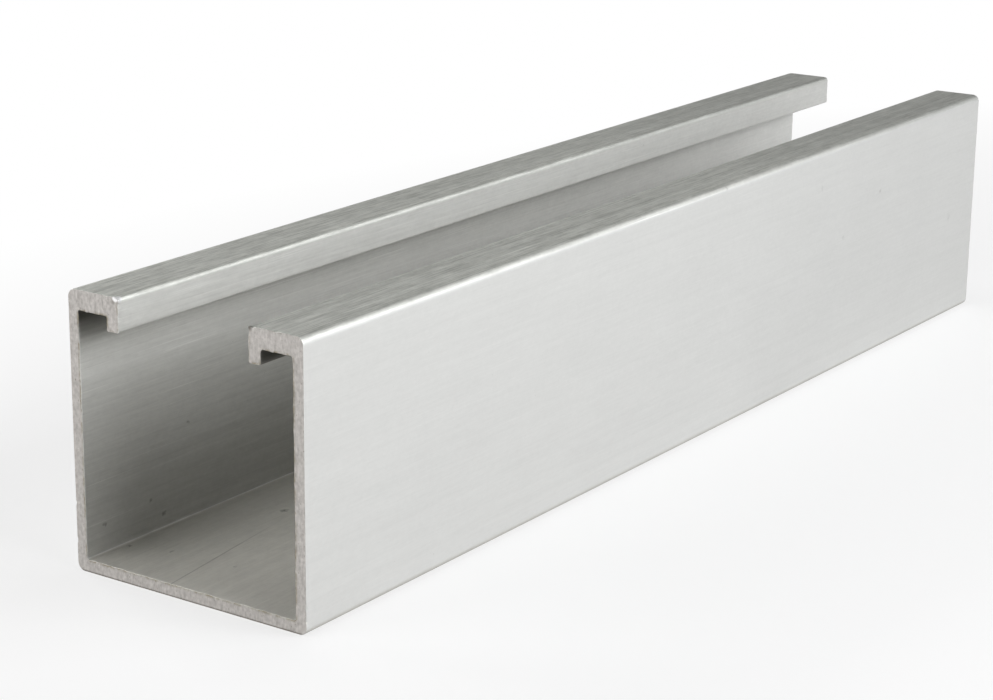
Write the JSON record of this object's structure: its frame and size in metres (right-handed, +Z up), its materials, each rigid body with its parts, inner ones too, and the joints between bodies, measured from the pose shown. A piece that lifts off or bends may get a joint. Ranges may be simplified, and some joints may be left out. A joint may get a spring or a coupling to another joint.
{
  "type": "aluminium channel extrusion",
  "caption": "Square C-section channel extruded in aluminium, with a lipped slot along its top and plain sawn ends, lying on its base.",
  "frame": {"origin": "middle of the base's underside, halfway along the length", "axes": "+X across the channel, +Y along the length of the extrusion, +Z up through the slot"},
  "size_m": [0.06, 0.3, 0.06],
  "materials": {
    "mill_aluminium": "satin mill finish with fine lengthwise die lines, sawn matt on the ends"
  },
  "bodies": {
    "root": {"channel_profile": "mill_aluminium"}
  },
  "joints": []
}
